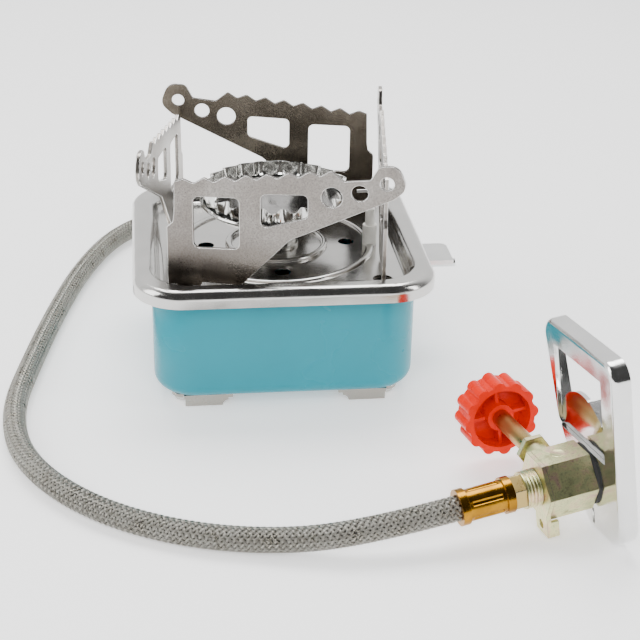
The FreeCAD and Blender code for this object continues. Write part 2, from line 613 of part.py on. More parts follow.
def make_electrode():
    base = ("electrode_across", "electrode_along", "tray_lift - electrode_drop")
    collet = cylinder("electrode_collet_solid", base, "collet_radius", "collet_rise + electrode_drop")
    way = cylinder("electrode_collet_way", base, "electrode_radius", 20)
    node(cut("electrode_collet", collet, way))
    rod = cylinder("electrode_rod", base, "electrode_radius", "electrode_rise + electrode_drop")
    core = cylinder("electrode_core", base, "wire_radius", 30)
    node(cut("electrode_ceramic", rod, core))
    foot = Vector(size("electrode_across"), size("electrode_along"),
                  size("tray_lift") - size("electrode_drop"))
    top = Vector(foot.x, foot.y, size("tray_lift") + size("electrode_rise") + 6.0)
    tip = Vector(foot.x - 4.4, foot.y, top.z)
    node(pipe("spark_wire", [foot, top, tip], [1.6], size("wire_radius")))
    radius = size("lead_radius")
    side = foot + Vector(0, -size("collet_radius"), radius)
    out = side + Vector(0, -5.0, 0)
    down = Vector(out.x, out.y, size("lead_height"))
    block = Vector(out.x, size("lever_back") + 1.0, down.z)
    node(pipe("igniter_lead", [side, out, down, block], [2.5, 2.5], radius))


# ---------------------------------------------------------------- valve assembly

def valve_frame():
    """Where the valve assembly lies: +X is the cartridge port, +Y the knob."""
    turn = Rotation(size("valve_yaw"), -size("valve_pitch"), size("valve_roll"))
    return Placement(Vector(size("valve_across"), size("valve_along"), size("valve_lift")), turn)


def laid(thing):
    """Lay a finished piece of the valve assembly in place."""
    thing.Placement = valve_frame().multiply(thing.Placement)
    return node(thing)


def make_valve():
    bar = hexagon("valve_bar", ("body_near", 0, 0), "body_half", "gasket_near - body_near", "x", 30)
    spigot = cylinder("valve_spigot", ("thread_near", 0, 0), "thread_radius",
                      "body_near - thread_near + 1", "x")
    port = cylinder("valve_port", ("gasket_near - 1", 0, 0), "port_radius - 1.2",
                    "port_out - gasket_near + 1", "x")
    boss = cylinder("valve_boss", ("stem_across", 0, "stem_height"), "boss_radius - 1", "boss_out", "y")
    solid = fuse("valve_solid", bar, spigot, port, boss)
    grooves = []
    for k in range(4):
        grooves.append(torus(f"valve_thread_{k}", (f"thread_near + 0.9 + {1.15 * k}", 0, 0),
                             "thread_radius + 0.15", 0.5, "x"))
    ways = [cylinder("valve_port_bore", (0, 0, 0), "port_bore", 12, "x"),
            cylinder("valve_seal_seat", ("port_floor", 0, 0), "port_seal_radius", 4, "x"),
            cylinder("valve_gas_way", ("thread_near - 1", 0, 0), "gas_bore", 24, "x"),
            cylinder("valve_stem_way", ("stem_across", "stem_root - 0.4", "stem_height"),
                     "stem_bore", 14, "y")]
    laid(cut("valve_body", solid, *ways, *grooves))

    ring = cylinder("gasket_disc", ("gasket_near", 0, 0), "gasket_radius", "0 - gasket_near", "x")
    ring_bore = cylinder("gasket_bore", ("gasket_near - 1", 0, 0), "port_radius - 1.2", 4, "x")
    laid(cut("plate_gasket", ring, ring_bore))

    seat = cylinder("port_seal_disc", ("port_floor", 0, 0), "port_seal_radius", "0 - port_floor", "x")
    seat_bore = cylinder("port_seal_bore", ("port_floor - 1", 0, 0), 1.8, 4, "x")
    laid(cut("port_seal", seat, seat_bore))
    pin = cylinder("depressor_pin", ("port_floor - 3", 0, 0), "gas_bore", "3 - port_floor", "x")
    laid(group("valve_pin_depressor", pin))

    bonnet = hexagon("bonnet_hexagon", ("stem_across", "boss_out", "stem_height"), "bonnet_half",
                     "bonnet_out - boss_out", "y")
    bonnet_bore = cylinder("bonnet_bore", ("stem_across", "boss_out - 1", "stem_height"),
                           "stem_bore", 6, "y")
    laid(cut("bonnet_nut", bonnet, bonnet_bore))

    rod = cylinder("stem_rod", ("stem_across", "stem_root", "stem_height"), "stem_radius",
                   "stem_far - stem_root", "y")
    groove = cylinder("stem_groove_outer", ("stem_across", "seal_low", "stem_height"), 4,
                      "seal_high - seal_low", "y")
    waist = cylinder("stem_groove_inner", ("stem_across", "seal_low - 1", "stem_height"),
                     "seal_inner", 4, "y")
    laid(cut("valve_stem", rod, cut("stem_groove", groove, waist)))
    seal = cylinder("seal_outer", ("stem_across", "seal_low", "stem_height"), "stem_radius",
                    "seal_high - seal_low", "y")
    seal_bore = cylinder("seal_bore", ("stem_across", "seal_low - 1", "stem_height"),
                         "seal_inner", 4, "y")
    laid(cut("stem_seal", seal, seal_bore))


def make_knob():
    """Open-backed control knob with twelve lobes, a hub and four webs."""
    centre = ("stem_across", "knob_near", "stem_height")
    deep = "knob_far - knob_near"
    parts = [cylinder("knob_core_disc", centre, "knob_core", deep, "y")]
    for k in range(12):
        angle = 30 * k
        parts.append(cylinder(f"knob_lobe_{k}",
                              (f"stem_across + lobe_circle * cos( {angle} )", "knob_near",
                               f"stem_height + lobe_circle * sin( {angle} )"),
                              "lobe_radius", deep, "y"))
    hollow = cylinder("knob_cavity", ("stem_across", "knob_near - 1", "stem_height"), "knob_hollow",
                      "knob_far - knob_near - knob_web + 1", "y")
    shell = cut("knob_shell", fuse("knob_solid", *parts), hollow)
    hub = cylinder("knob_hub", ("stem_across", "hub_near", "stem_height"), "hub_radius",
                   "knob_far - hub_near", "y")
    rib_deep = "knob_far - knob_near - 3"
    rib_a = box("knob_rib_a", ("stem_across - knob_hollow", "knob_near + 3", "stem_height - rib / 2"),
                "2 * knob_hollow", rib_deep, "rib")
    rib_b = box("knob_rib_b", ("stem_across - rib / 2", "knob_near + 3", "stem_height - knob_hollow"),
                "rib", rib_deep, "2 * knob_hollow")
    bore = cylinder("knob_bore", ("stem_across", "knob_near - 1", "stem_height"), "stem_radius",
                    "stem_far - knob_near + 1", "y")
    laid(cut("valve_knob", fuse("knob_whole", shell, hub, rib_a, rib_b), bore))


def make_hose_end():
    nut = hexagon("hose_nut_hexagon", ("hose_nut_near", 0, 0), "hose_nut_half",
                  "thread_near - hose_nut_near", "x")
    laid(group("hose_nut", nut))
    laid(ferrule("hose_sleeve_valve", None, 0, "0", "valve_ferrule_end", "hose_nut_near", "x"))

    sheet_near = "body_near - bracket_sheet"
    face = hexagon("bracket_face", (sheet_near, 0, 0), "body_half", "bracket_sheet", "x", 30)
    foot = (sheet_near, "bracket_side", "bracket_foot")
    tail = box("bracket_tail", foot, "bracket_sheet", "bracket_wide", 7)
    lip = box("bracket_lip_strip", foot, "bracket_lip", "bracket_sheet", "bracket_turn")
    way = cylinder("bracket_way", ("body_near - 4", 0, 0), "thread_radius", 8, "x")
    pin_hole = cylinder("bracket_pin_hole", ("body_near - 4", -1.8, "bracket_foot + 2.6"),
                        "bracket_hole", 8, "x")
    laid(cut("retaining_bracket", fuse("bracket_solid", face, tail, lip), way, pin_hole))


def plate_corners(inset):
    """Stand plate seen along the port: u is towards the knob side, v is up."""
    front = size("plate_front") + inset
    rear = size("plate_rear") - inset
    low = size("plate_low") + inset
    high = size("plate_high") - inset
    lean = size("plate_lean") - inset
    return [(front, low, 8.0 - inset), (1.5 - inset * 0.5, low, 7.0 - inset), (lean, 10.0, 14.0),
            (rear, high, 5.0 - inset), (front, high, 5.0 - inset)]


def make_stand_plate():
    """Pressed plate that stands on the ground and carries the lying cartridge."""
    pan = profile("plate_pan", "YZ_Plane", outline(plate_corners(0.0)), "plate_deep")
    doc.recompute()
    pad = pan.Tip
    rim = pan.newObject("PartDesign::Fillet", "plate_rolled_edge")
    rim.Base = (pad, edges_where(pad.Shape, lambda e: e.BoundBox.XMax < 1e-4))
    bind(rim, Radius="plate_roll")
    doc.recompute()
    dish = profile("plate_dish", "YZ_Plane", outline(plate_corners(size("plate_sheet"))), "plate_deep")
    dish.Placement = Placement(Vector(size("plate_sheet"), 0, 0), Rotation())
    window = box("plate_window", (-2, "window_front", "window_foot"), 8, "window_wide", "window_tall")
    slot = box("plate_slot", (-2, "slot_front", "slot_foot"), 8, "slot_wide", "slot_tall")
    way = cylinder("plate_way", (-2, 0, 0), "port_radius - 1.15", 8, "x")
    laid(cut("stand_plate", pan, dish, window, slot, way))

    disc = cylinder("disc_solid", ("plate_sheet", "disc_along", "disc_height"), "disc_radius",
                    "disc_far - plate_sheet", "x")
    trimmed = doc.addObject("Part::Common", "disc_inside_pan")
    trimmed.Base = disc
    trimmed.Tool = dish
    tab = box("disc_tab", ("plate_sheet", "tab_front", "tab_foot"), "tab_reach", "tab_wide", "tab_thick")
    tab.Placement.Rotation = Rotation(Vector(1, 0, 0), size("tab_lean"))
    disc_way = cylinder("disc_way", (-2, 0, 0), "port_radius - 1.15", 12, "x")
    laid(cut("cartridge_collar_disc", fuse("disc_whole", trimmed, tab), disc_way))


make_tray()
make_casing()
make_burner()
make_gas_line()
make_hose()
make_supports()
make_legs()
make_igniter()
make_electrode()
make_valve()
make_knob()
make_hose_end()
make_stand_plate()
doc.recompute()

problems = [thing.Name for thing in doc.Objects
            if "Invalid" in thing.State or "Error" in thing.State]
if problems:
    raise RuntimeError(f"failed objects: {problems}")
os.makedirs("parts", exist_ok=True)
for part in NODES:
    shape = part.Shape
    if shape.isNull() or not shape.isValid() or not shape.Solids:
        raise RuntimeError(f"bad shape: {part.Label}")
    shape.exportStep(f"parts/{part.Label}.step")
    extent = shape.BoundBox
    print(f"{part.Label:24s} solids {len(shape.Solids)} volume {shape.Volume:9.1f}"
          f" x {extent.XMin:7.2f} {extent.XMax:7.2f} y {extent.YMin:7.2f} {extent.YMax:7.2f}"
          f" z {extent.ZMin:7.2f} {extent.ZMax:7.2f}")
print(len(NODES), "nodes")
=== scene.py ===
"""Looks of a compact folding gas stove with a remote cartridge valve, around its CAD frame."""
import json
import math

import bmesh
import bpy
import numpy as np
from mathutils import Matrix, Vector


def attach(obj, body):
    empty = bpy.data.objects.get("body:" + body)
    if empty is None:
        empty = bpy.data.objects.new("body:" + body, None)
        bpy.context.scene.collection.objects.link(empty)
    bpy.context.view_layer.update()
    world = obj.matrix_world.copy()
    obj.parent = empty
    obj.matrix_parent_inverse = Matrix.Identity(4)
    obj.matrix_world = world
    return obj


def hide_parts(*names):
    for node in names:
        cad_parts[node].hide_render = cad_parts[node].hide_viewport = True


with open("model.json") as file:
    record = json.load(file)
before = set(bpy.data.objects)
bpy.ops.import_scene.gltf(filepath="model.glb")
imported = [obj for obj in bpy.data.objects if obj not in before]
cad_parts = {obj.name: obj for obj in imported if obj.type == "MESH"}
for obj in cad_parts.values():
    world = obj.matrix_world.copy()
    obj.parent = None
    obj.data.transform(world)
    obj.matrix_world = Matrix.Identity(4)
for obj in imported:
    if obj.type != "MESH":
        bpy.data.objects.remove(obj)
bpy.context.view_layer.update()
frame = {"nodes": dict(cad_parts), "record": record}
NODES = frame["nodes"]
RECORD = frame["record"]
BODY_OF = {node: body for body, nodes in RECORD["behaviour"]["bodies"].items() for node in nodes}
SLOT_OF = {entry["node"]: entry["material_slot"] for entry in RECORD["subparts"]}
MM = 0.001
FULL_TURN = 2.0 * math.pi


# ---------------------------------------------------------------- node trees

class Finish:
    """A procedural material: a Principled shader and short calls that add nodes to it."""

    def __init__(self, name, **sockets):
        self.material = bpy.data.materials.new(name)
        self.material.use_nodes = True
        self.tree = self.material.node_tree
        self.shader = self.tree.nodes["Principled BSDF"]
        self.place = self.add("ShaderNodeTexCoord").outputs["Object"]
        for key, value in sockets.items():
            self.shader.inputs[key.replace("_", " ")].default_value = value

    def add(self, kind, **settings):
        made = self.tree.nodes.new(kind)
        for key, value in settings.items():
            setattr(made, key, value)
        return made

    def link(self, source, target):
        self.tree.links.new(source, target)

    def noise(self, scale, detail=3.0, roughness=0.55, distortion=0.0):
        """Noise in object space, with its scale in cells per metre."""
        made = self.add("ShaderNodeTexNoise")
        for key, value in (("Scale", scale), ("Detail", detail), ("Roughness", roughness),
                           ("Distortion", distortion)):
            made.inputs[key].default_value = value
        self.link(self.place, made.inputs["Vector"])
        return made.outputs["Fac"]

    def spread(self, source, low, high, start=0.3, end=0.7):
        """Take a value from low to high as the source goes from start to end."""
        made = self.add("ShaderNodeMapRange")
        for key, value in (("From Min", start), ("From Max", end), ("To Min", low), ("To Max", high)):
            made.inputs[key].default_value = value
        self.link(source, made.inputs["Value"])
        return made.outputs["Result"]

    def ramp(self, source, *stops):
        """Colours at stops given as (position, colour)."""
        made = self.add("ShaderNodeValToRGB")
        elements = made.color_ramp.elements
        while len(elements) < len(stops):
            elements.new(0.5)
        for element, (position, colour) in zip(elements, stops):
            element.position = position
            element.color = (*colour, 1.0)
        self.link(source, made.inputs["Fac"])
        return made.outputs["Color"]

    def mix(self, factor, first, second, mode="MIX"):
        """Blend two colours. Each input is a socket or a plain value."""
        made = self.add("ShaderNodeMix", data_type="RGBA", blend_type=mode)
        factor_input, first_input, second_input, colour_output = 0, 6, 7, 2
        for index, value in ((factor_input, factor), (first_input, first), (second_input, second)):
            if isinstance(value, bpy.types.NodeSocket):
                self.link(value, made.inputs[index])
            elif index == factor_input:
                made.inputs[index].default_value = value
            else:
                made.inputs[index].default_value = (*value, 1.0)
        return made.outputs[colour_output]

    def sum(self, first, second, weight):
        """first + weight * second"""
        made = self.add("ShaderNodeMath", operation="MULTIPLY_ADD")
        self.link(second, made.inputs[0])
        made.inputs[1].default_value = weight
        self.link(first, made.inputs[2])
        return made.outputs[0]

    def colour(self, source):
        self.link(source, self.shader.inputs["Base Color"])

    def rough(self, source):
        self.link(source, self.shader.inputs["Roughness"])

    def bump(self, height, depth, strength=1.0):
        """Bump of the given depth in metres."""
        made = self.add("ShaderNodeBump")
        made.inputs["Distance"].default_value = depth
        made.inputs["Strength"].default_value = strength
        self.link(height, made.inputs["Height"])
        self.link(made.outputs["Normal"], self.shader.inputs["Normal"])


def polished_steel(name="polished_steel", tone=(0.80, 0.80, 0.79), smooth=0.05, waves=0.00012):
    """Bright pressed sheet: nearly a mirror, with slow waves, faint smears and fine scratches."""
    made = Finish(name, Metallic=1.0)
    smear = made.noise(90.0, 4.0)
    dust = made.noise(2600.0, 2.0)
    made.colour(made.ramp(smear, (0.25, tuple(0.90 * c for c in tone)), (0.75, tone)))
    made.rough(made.spread(made.sum(smear, dust, 0.35), smooth, smooth + 0.14, 0.35, 1.0))
    slow = made.noise(70.0, 1.0)
    made.bump(made.sum(slow, dust, 0.02), waves)
    return made.material


# The painted reflection's colour, standing in for the dark tray floor mirrored low on the pot supports,
# and the heights in metres between which it fades out upwards.
DARK_TRAY_REFLECTION = (0.13, 0.11, 0.09)
DARK_TRAY_REFLECTION_TOP = 0.057
DARK_TRAY_REFLECTION_FOOT = 0.043


def satin_steel(name, tone, warm, smooth=0.30):
    """Blasted sheet with a fine grain, warmer clouds and a painted brown reflection of the tray low on
    the sheet, just above the tray.
    """
    made = Finish(name, Metallic=1.0)
    grain = made.noise(2100.0, 3.0, 0.75)
    clouds = made.noise(48.0, 3.0)
    base = made.mix(made.spread(clouds, 0.0, 1.0), tone, warm)
    speck = made.ramp(grain, (0.36, (0.52, 0.52, 0.52)), (0.62, (1.0, 1.0, 1.0)))
    height = made.add("ShaderNodeSeparateXYZ")
    made.link(made.place, height.inputs[0])
    uneven = made.sum(height.outputs["Z"], clouds, 0.006)
    # Painted reflection: the colour turns dark brown towards the foot, in place of the dark tray
    # mirrored there.
    near_tray = made.spread(uneven, 1.0, 0.0, DARK_TRAY_REFLECTION_FOOT, DARK_TRAY_REFLECTION_TOP)
    with_painted_reflection = made.mix(near_tray, made.mix(0.8, base, speck, "MULTIPLY"), DARK_TRAY_REFLECTION)
    made.colour(with_painted_reflection)
    made.rough(made.spread(made.sum(clouds, grain, 0.5), smooth, smooth + 0.16, 0.45, 1.0))
    made.bump(grain, 0.00005, 0.8)
    return made.material


def blue_enamel():
    """Sky blue gloss enamel over steel, with a light orange peel."""
    made = Finish("blue_enamel", Roughness=0.22, Specular_IOR_Level=0.35)
    clouds = made.noise(35.0, 3.0)
    made.colour(made.ramp(clouds, (0.25, (0.0, 0.222, 0.285)), (0.75, (0.0, 0.245, 0.312))))
    made.rough(made.spread(clouds, 0.18, 0.30))
    peel = made.noise(420.0, 2.0)
    made.bump(peel, 0.000025, 0.6)
    return made.material


def olive_zinc():
    """Yellow passivated zinc: olive, with green and pink patches and a cut, pitted surface."""
    made = Finish("olive_zinc", Metallic=1.0)
    patches = made.noise(240.0, detail=5.0, roughness=0.65, distortion=0.6)
    tint = made.ramp(patches, (0.26, (0.34, 0.32, 0.15)), (0.42, (0.68, 0.70, 0.38)),
                     (0.54, (0.80, 0.74, 0.42)), (0.66, (0.76, 0.54, 0.42)), (0.80, (0.54, 0.68, 0.40)))
    pits = made.noise(1900.0, 4.0, 0.7)
    spots = made.ramp(pits, (0.32, (0.62, 0.60, 0.55)), (0.50, (1.0, 1.0, 1.0)))
    made.colour(made.mix(0.8, tint, spots, "MULTIPLY"))
    made.rough(made.spread(pits, 0.40, 0.28))
    made.bump(made.sum(pits, patches, 0.6), 0.00007)
    return made.material


def brass(name, pale, dark, smooth=0.2):
    """Turned brass: tarnish in clouds and fine tool marks."""
    made = Finish(name, Metallic=1.0)
    clouds = made.noise(160.0, 4.0)
    marks = made.noise(2400.0, 2.0)
    made.colour(made.ramp(clouds, (0.28, dark), (0.72, pale)))
    made.rough(made.spread(made.sum(clouds, marks, 0.4), smooth, smooth + 0.16, 0.4, 1.0))
    made.bump(marks, 0.00003, 0.6)
    return made.material


def moulded_plastic(name, pale, deep, smooth=0.2):
    """Glossy moulded plastic with a faint flow pattern and a soft skin texture."""
    made = Finish(name, Specular_IOR_Level=0.12)
    flow = made.noise(120.0, roughness=0.5, distortion=0.8)
    skin = made.noise(2200.0, 2.0)
    made.colour(made.ramp(flow, (0.25, deep), (0.75, pale)))
    made.rough(made.spread(made.sum(flow, skin, 0.3), smooth, smooth + 0.14, 0.4, 0.95))
    made.bump(made.sum(skin, flow, 0.5), 0.00003, 0.7)
    return made.material


def plain_dull(name, dark, pale, smooth, depth=0.00004):
    """Rubber, ceramic and bare plastic: two close tones and a fine texture."""
    made = Finish(name)
    clouds = made.noise(300.0, 4.0)
    grain = made.noise(3200.0, 3.0)
    made.colour(made.ramp(clouds, (0.3, dark), (0.7, pale)))
    made.rough(made.spread(grain, smooth, smooth + 0.15))
    made.bump(grain, depth, 0.7)
    return made.material


WIRES_PER_STRAND = 1.3


def braid_wire():
    """Stainless braid: each strand is a flat bundle of bright wires laid side by side."""
    made = Finish("braid_wire", Metallic=1.0)
    uv = made.add("ShaderNodeUVMap", uv_map="strand").outputs[0]
    wave = made.add("ShaderNodeTexWave", wave_type="BANDS", bands_direction="X", wave_profile="SIN")
    wave.inputs["Scale"].default_value = WIRES_PER_STRAND
    wave.inputs["Distortion"].default_value = 0.0
    made.link(uv, wave.inputs["Vector"])
    wires = wave.outputs["Fac"]
    grime = made.noise(260.0, 3.0)
    tone = made.ramp(wires, (0.05, (0.09, 0.085, 0.075)), (0.50, (0.60, 0.585, 0.53)))
    shade = made.ramp(grime, (0.3, (0.82, 0.80, 0.76)), (0.7, (1.0, 1.0, 1.0)))
    made.colour(made.mix(1.0, tone, shade, "MULTIPLY"))
    made.rough(made.spread(grime, 0.24, 0.38))
    made.bump(wires, 0.00009)
    return made.material


FINISHES = {
    "polished_steel": polished_steel(),
    "satin_steel": satin_steel("satin_steel", (0.50, 0.48, 0.46), (0.42, 0.38, 0.35)),
    "blue_enamel": blue_enamel(),
    "zinc_steel": polished_steel("zinc_steel", (0.60, 0.59, 0.56), 0.2, 0.00006),
    "olive_zinc": olive_zinc(),
    "brass": brass("brass", (0.50, 0.36, 0.13), (0.42, 0.30, 0.11), 0.24),
    "gold_brass": brass("gold_brass", (0.46, 0.22, 0.014), (0.22, 0.10, 0.008), 0.14),
    "braided_hose": plain_dull("hose_core", (0.055, 0.052, 0.048), (0.085, 0.08, 0.075), 0.5),
    "orange_plastic": moulded_plastic("orange_plastic", (0.74, 0.0150, 0.0), (0.62, 0.0110, 0.0)),
    "ceramic": plain_dull("ceramic", (0.74, 0.72, 0.66), (0.82, 0.80, 0.75), 0.25, 0.00002),
    "black_plastic": plain_dull("black_plastic", (0.012, 0.012, 0.013), (0.03, 0.03, 0.03), 0.4),
    "black_rubber": plain_dull("black_rubber", (0.010, 0.010, 0.010), (0.022, 0.022, 0.022), 0.55),
    "spring_steel": polished_steel("spring_steel", (0.58, 0.57, 0.56), 0.22, 0.00003),
}


# ---------------------------------------------------------------- pieces

def linked(name, data):
    made = bpy.data.objects.new(name, data)
    bpy.context.scene.collection.objects.link(made)
    return made


def laid_on(piece, node):
    """Give a piece its node's body."""
    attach(piece, BODY_OF[node])
    return piece


def stands_for(piece, node):
    """Put a piece in its node's place."""
    laid_on(piece, node)
    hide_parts(node)
    return piece


WELD_GAP = 1e-6
FLAT_ANGLE = math.radians(0.6)
SHARP_ANGLE = math.radians(32.0)
TURNED_SHARP_ANGLE = math.radians(38.0)
FULL_WEIGHT = 100


def finished(node, width, finish=None, edge_finish=None):
    """A CAD node's own shape with its sharp edges broken by a small round of width millimetres."""
    form = bmesh.new()
    form.from_mesh(NODES[node].data)
    bmesh.ops.remove_doubles(form, verts=form.verts, dist=WELD_GAP)
    bmesh.ops.dissolve_limit(form, angle_limit=FLAT_ANGLE, verts=form.verts, edges=form.edges)
    mesh = bpy.data.meshes.new(f"{node}_finished")
    form.to_mesh(mesh)
    form.free()
    mesh.materials.append(finish or FINISHES[SLOT_OF[node]])
    if edge_finish:
        mesh.materials.append(edge_finish)
    piece = linked(f"{node}_finished", mesh)
    mesh.shade_smooth()
    edge = piece.modifiers.new("broken_edges", "BEVEL")
    edge.width = width * MM
    edge.segments = 2
    edge.limit_method = "ANGLE"
    edge.angle_limit = SHARP_ANGLE
    edge.use_clamp_overlap = True
    edge.material = 1 if edge_finish else -1
    even = piece.modifiers.new("even_normals", "WEIGHTED_NORMAL")
    even.mode = "FACE_AREA"
    even.weight = FULL_WEIGHT
    return stands_for(piece, node)


def paint_frame():
    """Give every CAD node its slot's finish."""
    for node, thing in NODES.items():
        thing.data.materials.clear()
        thing.data.materials.append(FINISHES[SLOT_OF[node]])


FLUTE_DROP = 0.3


def lathe(name, node, rings, finishes, steps, flutes=0, place=None):
    """Closed section turned about Z. Each ring is (radius, height, finish index, flute depth).

    It stands for its node, or, where a place is given, is laid there as an extra detail of it.
    The last two entries of a ring may be left out.
    """
    verts, faces, kinds = [], [], []
    count = len(rings)
    full = [(*ring, 0, 0)[:4] for ring in rings]
    for step in range(steps):
        angle = FULL_TURN * step / steps
        wave = math.cos(flutes * angle)
        for radius, height, _, depth in full:
            reach = radius + depth * wave
            rise = height - (FLUTE_DROP * depth * wave if flutes else 0.0)
            verts.append((reach * math.cos(angle) * MM, reach * math.sin(angle) * MM, rise * MM))
        after = (step + 1) % steps
        for k in range(count):
            to = (k + 1) % count
            faces.append((step * count + k, after * count + k, after * count + to, step * count + to))
            kinds.append(full[k][2])
    mesh = bpy.data.meshes.new(name)
    mesh.from_pydata(verts, [], faces)
    for finish in finishes:
        mesh.materials.append(finish)
    mesh.polygons.foreach_set("material_index", kinds)
    mesh.shade_smooth()
    mesh.set_sharp_from_angle(angle=TURNED_SHARP_ANGLE)
    piece = linked(name, mesh)
    if place is None:
        return stands_for(piece, node)
    mesh.transform(place)
    return laid_on(piece, node)


# Where the valve lies, and which way its port and its stem point.
VALVE_PLACE = (0.0723, -0.1080, 0.0155)
VALVE_PORT = Vector((0.97431, 0.18939, 0.12187))
VALVE_STEM = Vector((-0.17966, 0.97992, -0.08651))

# The spigot's thread and the punch mark's section in millimetres, and the mark's place along
# the port in metres.
THREAD_START = -18.55
THREAD_CRESTS = 6
THREAD_PITCH = 0.88
THREAD_CREST_RADIUS = 5.06
THREAD_ROOT_RADIUS = 4.62
THREAD_INNER_RADIUS = 4.0
THREAD_FIRST_RADIUS = 4.6
MARK_ALONG = -0.0076
MARK = [(0.02, 7.8), (2.0, 7.8), (2.0, 8.04), (1.8, 8.14), (1.5, 8.05), (0.02, 8.03)]


def make_valve_details():
    """Fine thread on the valve's spigot and a round punch mark on its upper flat."""
    turn = Matrix((VALVE_PORT, VALVE_STEM, VALVE_PORT.cross(VALVE_STEM))).transposed().to_4x4()
    valve = Matrix.Translation(VALVE_PLACE) @ turn
    along_port = Matrix.Rotation(math.pi / 2.0, 4, "Y")
    thread = [(THREAD_INNER_RADIUS, THREAD_START), (THREAD_FIRST_RADIUS, THREAD_START)]
    for k in range(THREAD_CRESTS):
        thread.append((THREAD_CREST_RADIUS, THREAD_START + THREAD_PITCH * (k + 0.5)))
        thread.append((THREAD_ROOT_RADIUS, THREAD_START + THREAD_PITCH * (k + 1.0)))
    thread.append((THREAD_INNER_RADIUS, THREAD_START + THREAD_PITCH * THREAD_CRESTS))
    lathe("spigot_thread", "valve_body", thread, [FINISHES["olive_zinc"]], 72, place=valve @ along_port)
    lathe("punch_mark", "valve_body", MARK, [FINISHES["olive_zinc"]], 48,
          place=valve @ Matrix.Translation((MARK_ALONG, 0.0, 0.0)))


# Sections of the burner in millimetres. A section that closes on the axis ends just beside it.
CROWN_FLUTES = 22
CROWN = [(21.5, 52.6, 0, 0.15), (22.0, 52.8, 0, 0.35), (22.2, 53.4, 0, 0.55), (22.3, 55.1, 0, 0.90),
         (22.4, 56.8, 0, 1.20), (22.35, 57.2, 0, 1.22), (22.05, 57.2, 0, 1.22), (21.9, 56.8, 0, 1.18),
         (21.8, 55.1, 0, 0.88), (21.6, 53.4, 0, 0.52), (21.2, 52.9, 0, 0.16)]
# The near-black finish is painted shade, in the slot under the crown and on the bowl's inner face.
DARK, BRIGHT, SHADED_GAP = 0, 1, 2  # places in the bowl's list of finishes
BOWL = [(4.6, 42.1, DARK), (6.4, 42.1, DARK), (6.4, 43.6, DARK), (9.5, 44.6, DARK),
        (20.4, 49.9, DARK), (21.6, 50.4, BRIGHT), (21.8, 51.0, DARK), (22.5, 51.2, DARK),
        (22.9, 51.6, SHADED_GAP), (22.4, 51.8, SHADED_GAP), (22.4, 52.1, BRIGHT), (23.6, 52.1, BRIGHT),
        (23.8, 52.5, BRIGHT), (23.6, 52.9, BRIGHT), (22.8, 52.9, SHADED_GAP), (20.8, 52.3, SHADED_GAP),
        (19.2, 50.1, SHADED_GAP), (9.0, 45.4, SHADED_GAP), (4.6, 44.4, DARK)]
DISH = [(0.02, 50.6), (4.0, 50.4), (9.0, 50.7), (14.0, 51.4), (18.8, 52.2), (20.3, 52.6), (20.5, 52.4),
        (20.3, 52.1), (18.8, 51.6), (14.0, 50.8), (9.0, 50.1), (4.5, 49.8), (4.5, 46.2), (0.02, 46.2)]


def make_burner():
    """Fluted crown over a slot painted near-black as shade, a turned bowl with a bright bead, and a
    dished cap.
    """
    # Near-black finish: painted shade in the slot under the crown and inside the bowl.
    shaded_gap_black = plain_dull("shaded_gap_black", (0.004, 0.004, 0.004), (0.012, 0.011, 0.010), 0.6)
    dark_steel = polished_steel("bowl_steel", (0.42, 0.41, 0.39), 0.10, 0.00010)
    crown_steel = polished_steel("crown_steel", (0.72, 0.72, 0.70), 0.08, 0.00001)
    dish_steel = polished_steel("dish_steel", (0.42, 0.41, 0.40), 0.10, 0.0002)
    lathe("flame_crown", "flame_ring", CROWN, [crown_steel], 12 * CROWN_FLUTES, flutes=CROWN_FLUTES)
    lathe("bowl_turned", "burner_bowl", BOWL, [dark_steel, crown_steel, shaded_gap_black], 120)
    lathe("dish_turned", "burner_dish", DISH, [dish_steel], 96)


# The hose's centreline, in metres: from the valve's sleeve along the ground, round the front
# and the left of the casing, to the union behind it.
HOSE_ROUTE = [(0.03674, -0.11491, 0.01105), (0.01462, -0.11921, 0.00829), (-0.0090, -0.1158, 0.0038),
              (-0.0360, -0.1090, 0.0036), (-0.0600, -0.0930, 0.0036), (-0.0770, -0.0690, 0.0036),
              (-0.0820, -0.0410, 0.0036), (-0.0775, -0.0080, 0.0036), (-0.0716, 0.0270, 0.0036),
              (-0.0645, 0.0600, 0.0036), (-0.0538, 0.0890, 0.0038), (-0.0402, 0.1026, 0.0048),
              (-0.0221, 0.1086, 0.0068), (-0.0033, 0.1058, 0.0094), (0.0120, 0.0947, 0.0118),
              (0.0206, 0.0780, 0.0132), (0.0206, 0.0580, 0.0132)]
HOSE_DIAMETER = 0.007
CORE_RADIUS = 0.37 * HOSE_DIAMETER

# The braid: flat strands wound both ways, with millimetres for how far they rise and sink.
STRANDS = 12
LAY_LENGTH = 0.021
CROSSING = LAY_LENGTH / (2 * STRANDS)
STRAND_HALF_ANGLE = 0.43 * FULL_TURN / STRANDS / 2
STRAND_SPREAD = 1.7
EDGE_DROP = 0.22
WEAVE_RISE = 0.17
WEAVE_SINK = 0.18
STEPS_PER_CROSSING = 3
STRAND_STEP = 0.1


def hose_curve():
    curve = bpy.data.curves.new("gas_hose_line", "CURVE")
    curve.dimensions = "3D"
    line = curve.splines.new("NURBS")
    line.points.add(len(HOSE_ROUTE) - 1)
    for point, place in zip(line.points, HOSE_ROUTE):
        point.co = (*place, 1.0)
    line.order_u = 3
    line.use_endpoint_u = True
    line.resolution_u = 16
    return curve


def evenly(points, step):
    """The same line with points at an even distance, and how far along it each point lies."""
    runs = np.linalg.norm(np.diff(points, axis=0), axis=1)
    along = np.concatenate(([0.0], np.cumsum(runs)))
    count = int(along[-1] / step)
    wanted = np.linspace(0.0, along[-1], count + 1)
    return wanted, np.column_stack([np.interp(wanted, along, points[:, k]) for k in range(3)])


